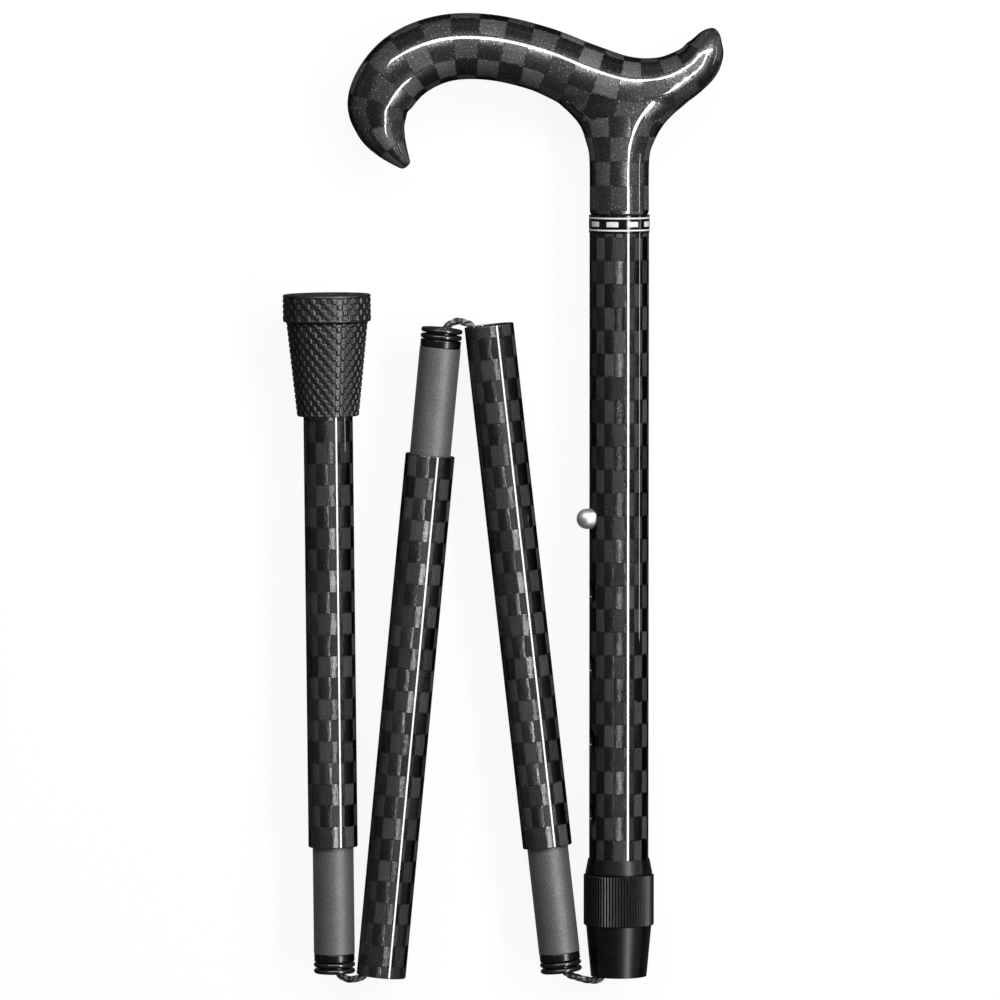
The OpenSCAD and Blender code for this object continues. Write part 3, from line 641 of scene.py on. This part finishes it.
def lowerSection(section, number):  # tube, ferrule, end cap and its two rings, each an outline turned about the section's axis
    p, body, named = lower, f"section_{number}", section.title()
    foot, top = p["reach"], p["reach"] + p["length"]
    tube = eased([(p["socket"], foot), (p["outside"], foot), (p["outside"], top), (p["socket"], top)], 0.4, 4)
    weave = finishes["turned" if section == "three" else "lower"]
    piece(f"tube{named}", [turned(tube, section, 128)], weave, body, [f"tube_{number}"])
    held, end = p["socket"] - p["fit"], foot + p["hold"]
    shell = eased([
        (p["bore"], p["capLength"]), (p["ferrule"], p["capLength"]), (p["ferrule"], foot - p["fit"]),
        (held, foot), (held, end), (p["bore"], end),
    ], 0.2)
    piece(f"ferrule{named}", [turned(shell, section, 112)], finishes["ferrule"], body, [f"ferrule_{number}"])
    land, stem = p["ferrule"] - 0.1, p["bore"] - p["fit"]
    rest, end = p["capLength"] - p["fit"], p["capLength"] + p["stem"]
    cap = eased([
        (p["hole"] + p["chamfer"], 0), (p["groove"], 0), (p["groove"], p["seat"]), (land, p["seat"]), (land, rest),
        (stem, rest), (stem, end), (p["hole"], end), (p["hole"], p["chamfer"]),
    ], 0.25)
    piece(f"endCap{named}", [turned(cap, section)], finishes["cap"], body, [f"end_cap_{number}"])
    circle = np.linspace(0, 2 * np.pi, 20, endpoint=False)
    half = p["ringThick"] / 2
    rings = []
    for z in (0.1, 0.4 + p["ringThick"]):
        wire = [p["ringRadius"] - half + p["ringWire"] * np.cos(circle), z + half + p["ringWire"] * np.sin(circle)]
        rings.append(turned(np.stack(wire, -1), section))
    piece(f"sealRings{named}", rings, finishes["seal"], body, [f"o_rings_{number}"])


for section, number in (("two", 2), ("three", 3), ("four", 4)):
    lowerSection(section, number)

tip = {
    "foot": 229.4, "length": 41.0, "footRadius": 14.8, "footHeight": 9.0, "lowRadius": 13.7, "topRadius": 10.4,
    "bore": 8.35, "boreDepth": 32.9, "columns": 48, "cell": 1.9, "relief": 0.42, "fine": 0.2,
    "rim": 1.2, "grooves": ((6.216, 7.716), (10.952, 12.452)), "grooveDepth": 1.6, "grooveDraft": 0.25,
}


def rubberTip():  # flared cup whose skin stands out in every other square, as a weave does, with a grooved sole
    foot, mouth = tip["foot"], tip["foot"] - tip["length"]
    shoulder, soleEdge = foot - tip["footHeight"], tip["footRadius"] - tip["rim"]
    skin = eased([
        (tip["bore"], mouth), (tip["topRadius"], mouth), (tip["lowRadius"], shoulder - 0.4),
        (tip["footRadius"], shoulder), (tip["footRadius"], foot), (0.0, foot),
    ], 0.7, 5, closed=False)
    finer = [skin[:1]]
    for a, b in zip(skin[:-1], skin[1:]):  # short steps up the wall, for the squares
        onWall = a[0] > tip["topRadius"] - 1 and abs(b[1] - a[1]) > tip["fine"]
        count = max(1, int(np.ceil(np.linalg.norm(b - a) / tip["fine"]))) if onWall else 1
        finer.append(a + (b - a) * np.linspace(0, 1, count + 1)[1:, None])
    skin = np.concatenate(finer)
    sole, deep, draft = [(soleEdge, foot)], foot - tip["grooveDepth"], tip["grooveDraft"]
    for a, b in tip["grooves"][::-1]:
        sole += [(b, foot), (b - draft, deep), (a + draft, deep), (a, foot)]
    side = skin[(skin[:, 1] < foot - 0.02) | (skin[:, 0] > soleEdge)]
    outline = np.concatenate([side, eased(sole + [(0.0, foot)], 0.25, 3, closed=False)])
    angle = np.linspace(0, 2 * np.pi, tip["columns"] * 10, endpoint=False)
    r, z = outline[:, :1], outline[:, 1:]
    a, c = angle[None] * tip["columns"] / (2 * np.pi), (z - mouth) / tip["cell"]
    cellA, cellC = np.floor(a), np.floor(c)
    inA, inC = a - cellA, c - cellC
    inside = np.minimum(np.minimum(inA, 1 - inA), np.minimum(inC, 1 - inC))
    crown = np.clip(inside / 0.2 + 0.25, 0, 1) * ((cellA + cellC) % 2)
    ends = np.clip((z - mouth) / 0.8, 0, 1) * np.clip((foot - 0.7 - z) / 0.5, 0, 1)  # plain at both ends and at the shoulder
    wall = ends * np.clip(np.abs(z - shoulder) / 0.5 - 0.6, 0, 1) * (r > tip["topRadius"] - 0.5)
    radius = r - tip["relief"] * wall * (1 - crown)
    cup = sheet(ringed(radius, angle, z, "four"), roundUv(len(angle), z), wrap=True)
    bottom = mouth + tip["boreDepth"]
    hollow = turned(np.array([(0.0, bottom), (tip["bore"], bottom), (tip["bore"], mouth)]), "four", len(angle), closed=False)
    piece("rubberTip", [cup, hollow], finishes["rubber"], "section_4", ["rubber_tip"])


rubberTip()

# elastic cord

cord = {
    "radius": 1.2, "gap": 0.35, "depth": 48.0, "plug": 8.0, "inset": 0.15,  # how deep it goes into the tube and the end cap, and stops short
    "keep": 0.25, "strands": 8, "lay": 5.2, "relief": 0.1, "step": 0.16, "around": 48,
}


def leanAlong(lean):
    return np.array([-math.sin(math.radians(lean)), math.cos(math.radians(lean))])


def leftOf(lean):
    return np.array([-math.cos(math.radians(lean)), -math.sin(math.radians(lean))])


# round cord carried along the loop, its skin rising where strands cross
def cordLoop(name, node, body, mouth, mouthOut, side, end, endOut):
    mouth, mouthOut, side, end, endOut = (np.array(v, float) for v in (mouth, mouthOut, side, end, endOut))
    wide, hole, drop = 2 * cord["radius"], lower["hole"], cord["gap"] + cord["radius"]
    wall = lower["socket"] - cord["radius"] - cord["gap"]
    leave, enter = mouth + drop * mouthOut + (wall + 0.9 * wide) * side, end + drop * endOut - (hole + 0.65 * wide) * side
    path = smoothLine([
        mouth - (cord["depth"] - cord["inset"]) * mouthOut,
        mouth - 0.33 * cord["depth"] * mouthOut + 0.35 * wall * side,
        mouth - 1.9 * wide * mouthOut + wall * side,
        mouth - 0.25 * wide * mouthOut + wall * side,
        mouth + 0.6 * drop * mouthOut + (wall + 0.33 * wide) * side,
        leave,
        (leave + enter) / 2 + 0.3 * abs((enter - leave) @ mouthOut) * mouthOut,
        enter,
        end + 0.5 * drop * endOut - 0.8 * hole * side,
        end - 0.25 * wide * endOut - hole / 3 * side,
        end - 0.4 * cord["plug"] * endOut,
        end - (cord["plug"] - cord["inset"]) * endOut,
    ], 16)
    far = wayAlong(path)
    even = np.linspace(0, far[-1], int(far[-1] / cord["step"]))
    path = np.stack([np.interp(even, far, path[:, n]) for n in range(2)], -1)
    ahead = heading(path)
    angle = np.linspace(0, 2 * np.pi, cord["around"], endpoint=False)
    turn = 2 * np.pi * even[:, None] / cord["lay"] / 2
    one, two = (np.cos(cord["strands"] / 2 * (angle[None] + hand * turn)) for hand in (1, -1))
    radius = cord["radius"] * (1 - cord["relief"] + cord["relief"] * np.maximum(one, two))
    up, out = radius * np.cos(angle), radius * np.sin(angle)
    grid = capped(np.stack([path[:, :1] - ahead[:, 1:] * up, out, path[:, 1:] + ahead[:, :1] * up], -1))
    even = np.concatenate([even[:1], even, even[-1:]])
    skin = sheet(lay(grid), roundUv(cord["around"], even[:, None]), wrap=True, flip=True)
    made = piece(name, [skin], finishes["braid"], body, [node])
    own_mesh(made)


footTwo, topThree, footFour = (np.array(fold[s][:2]) for s in ("two", "three", "four"))
reach = lower["reach"] + lower["length"]
leanTwo, leanThree, leanFour = (fold[s][2] for s in ("two", "three", "four"))
upTwo, upThree, upFour = (leanAlong(lean) for lean in (leanTwo, leanThree, leanFour))
mouthTwo, mouthThree = footTwo + reach * upTwo, topThree - reach * upThree
cordLoop("cordLoopLower", "cord_loop_lower", "cord_link_12", (0, 0), (0, -1), (-1, 0), footTwo, -upTwo)
cordLoop("cordLoopUpper", "cord_loop_upper", "cord_link_23", mouthTwo, upTwo, leftOf(leanTwo), topThree, upThree)
cordLoop("cordLoopOuter", "cord_loop_outer", "cord_link_34", mouthThree, -upThree, leftOf(leanThree), footFour, -upFour)

# inner pieces keep their solids and get a finish
kept = {
    "handle_spigot": "alloy", "lock_collet": "cap", "button_spring": "spring", "tip_washer": "spring",
    "cord_anchor": "cap", "cord_plug_4": "cap", "cord_knot_upper": "cap", "cord_knot_lower": "cap",
    "cord_upper": "cap", "cord_2": "cap", "cord_3": "cap", "cord_4": "cap",
}
for node, finish in kept.items():
    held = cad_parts[node]
    held.data.materials.clear()
    held.data.materials.append(finishes[finish])
print("pieces made")

# floor, light and camera

stage = {
    "floor": 3.0, "shadow": 0.08, "pale": 0.95,  # half the floor's width, how much of its own shade the camera sees
    "matte": 0.006, "mirror": 0.2,  # the floor by other light, and in reflections
    "world": 0.05, "sky": 0.06,  # even light, and the sky in reflections
}
light = {
    "side": {"turn": 36, "far": 1.2, "wide": 0.17, "long": 1.7, "power": 13.0, "ahead": 0.0},
    "edge": {"turn": 85, "far": 1.2, "wide": 0.04, "long": 0.8, "power": 0.9, "ahead": 0.26},
    "top": {"turn": 42, "far": 1.2, "wide": 0.2, "long": 2.2, "power": 18.0, "right": 0.3},
}


def lightPath(b):  # rays from the camera or through glass, and rays off a glossy face
    camera, glossy, through = [b.node("ShaderNodeLightPath", out=n) for n in (0, 3, 6)]
    return camera.math("MAXIMUM", through), glossy


def whiteFloor():  # plain floor, white to the camera and through glass, fainter in reflections, with the object's soft shadow
    b = Bench("paleFloor")
    direct, glossy = lightPath(b)
    matte, pale = (b.node("ShaderNodeBsdfDiffuse", None, {"Color": (stage[key],) * 3 + (1,)}) for key in ("matte", "pale"))
    glow = b.node("ShaderNodeEmission", None, {"Color": (1, 1, 1, 1), "Strength": 1.0})
    ground = b.node("ShaderNodeMixShader", None, {0: direct, 1: matte, 2: pale})
    share = direct * (1 - stage["shadow"]) + glossy * stage["mirror"]
    b.node("ShaderNodeOutputMaterial", None, {0: b.node("ShaderNodeMixShader", None, {0: share, 1: ground, 2: glow})})
    half = stage["floor"]
    mesh = bpy.data.meshes.new("floor")
    mesh.from_pydata([(-half, -half, 0), (half, -half, 0), (half, half, 0), (-half, half, 0)], [], [(0, 1, 2, 3)])
    mesh.materials.append(b.material)
    placed("floor", mesh)


def lamp(name, place, tilt, size, power):  # soft box that looks at the cane
    data = bpy.data.lights.new(name, "AREA")
    data.shape, data.energy = "RECTANGLE", power
    data.size, data.size_y = size
    made = placed(name, data)
    made.location, made.rotation_euler = place, tilt


def whiteSky():  # faint even light, white where the camera looks past the floor
    b = Bench("studio", "worlds")
    direct, glossy = lightPath(b)
    share = direct + glossy * stage["sky"]
    glow = b.node("ShaderNodeBackground", None, {0: (1, 1, 1, 1), 1: share.math("MAXIMUM", stage["world"])})
    b.node("ShaderNodeOutputWorld", None, {0: glow})
    bpy.context.scene.world = b.material


whiteFloor()
whiteSky()
for name, box in light.items():
    turn = math.radians(box["turn"])
    out, up = box["far"] * math.sin(turn), box["far"] * math.cos(turn)
    if name == "top":
        lamp("topStrip", (box["right"], out, up), (-turn, 0, 0), (box["long"], box["wide"]), box["power"])
    else:
        lamp(name + "Strip", (out, box["ahead"], up), (0, turn, 0), (box["wide"], box["long"]), box["power"])
bpy.context.scene.view_settings.view_transform = "Standard"

view = {"lean": 3.8, "far": 3.2, "lens": 342.5, "sensor": 36.0, "clip": 20.0, "aim": (-0.001, 0.0, 0.0148)}
camera = bpy.data.cameras.new("camera")
camera.lens, camera.sensor_width, camera.clip_end = view["lens"], view["sensor"], view["clip"]
eye = placed("camera", camera)
lean, (aimX, aimY, aimZ) = math.radians(view["lean"]), view["aim"]
eye.location = (aimX, aimY + view["far"] * math.sin(lean), aimZ + view["far"] * math.cos(lean))
eye.rotation_euler = (-lean, 0, 0)
bpy.context.scene.camera = eye

print("scene made")
